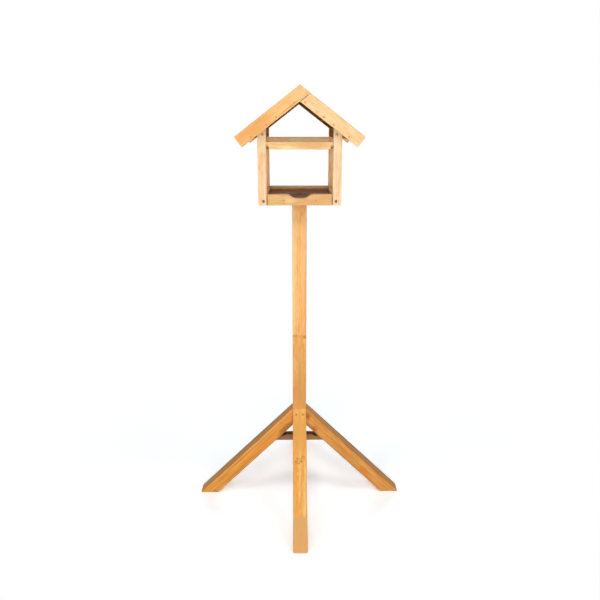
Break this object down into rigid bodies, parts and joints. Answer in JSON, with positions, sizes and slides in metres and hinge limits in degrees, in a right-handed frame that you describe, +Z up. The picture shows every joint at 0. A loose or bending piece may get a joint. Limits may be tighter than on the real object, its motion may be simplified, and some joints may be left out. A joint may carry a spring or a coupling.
{
  "type": "bird table",
  "caption": "Roofed wooden feeding tray with a railed floor and a gable roof on a square upright, standing on a cross of sloping legs.",
  "frame": {"origin": "on the ground, on the axis of the upright", "axes": "+Z up the upright, -Y out of the gable with the scooped rail, +X to the right of someone who faces that gable"},
  "size_m": [0.594, 0.594, 1.1594],
  "materials": {
    "stand_timber": "planed softwood, clear oiled, satin",
    "house_timber": "planed softwood, clear oiled, satin",
    "tray_timber": "planed softwood, clear oiled, matt",
    "roof_timber": "planed softwood, clear oiled, satin",
    "fastener_steel": "zinc plated and passivated, dull"
  },
  "bodies": {
    "root": {"lower_upright": "stand_timber", "upper_upright": "stand_timber", "front_leg": "stand_timber", "rear_leg": "stand_timber", "left_leg": "stand_timber", "right_leg": "stand_timber", "leg_brace": "stand_timber", "tray_floor": "tray_timber", "front_rail": "house_timber", "rear_rail": "house_timber", "left_side_rail": "house_timber", "right_side_rail": "house_timber", "front_left_post": "house_timber", "front_right_post": "house_timber", "rear_left_post": "house_timber", "rear_right_post": "house_timber", "front_tie_bar": "house_timber", "rear_tie_bar": "house_timber", "left_eaves_plate": "house_timber", "right_eaves_plate": "house_timber", "left_upper_roof_board": "roof_timber", "left_lower_roof_board": "roof_timber", "right_upper_roof_board": "roof_timber", "right_lower_roof_board": "roof_timber", "front_left_bargeboard": "roof_timber", "front_right_bargeboard": "roof_timber", "rear_left_bargeboard": "roof_timber", "rear_right_bargeboard": "roof_timber", "upright_dowel_screw": "fastener_steel", "front_leg_screw_1": "fastener_steel", "front_leg_screw_2": "fastener_steel", "rear_leg_screw_1": "fastener_steel", "rear_leg_screw_2": "fastener_steel", "left_leg_screw_1": "fastener_steel", "left_leg_screw_2": "fastener_steel", "right_leg_screw_1": "fastener_steel", "right_leg_screw_2": "fastener_steel", "brace_screw_left": "fastener_steel", "brace_screw_middle": "fastener_steel", "brace_screw_right": "fastener_steel", "floor_screw_left": "fastener_steel", "floor_screw_right": "fastener_steel", "front_rail_nail_left": "fastener_steel", "front_rail_nail_right": "fastener_steel", "rear_rail_nail_left": "fastener_steel", "rear_rail_nail_right": "fastener_steel", "front_left_side_rail_screw": "fastener_steel", "front_right_side_rail_screw": "fastener_steel", "rear_left_side_rail_screw": "fastener_steel", "rear_right_side_rail_screw": "fastener_steel", "front_left_plate_screw": "fastener_steel", "front_right_plate_screw": "fastener_steel", "rear_left_plate_screw": "fastener_steel", "rear_right_plate_screw": "fastener_steel", "front_left_tie_bar_nail": "fastener_steel", "front_right_tie_bar_nail": "fastener_steel", "rear_left_tie_bar_nail": "fastener_steel", "rear_right_tie_bar_nail": "fastener_steel"}
  },
  "joints": []
}
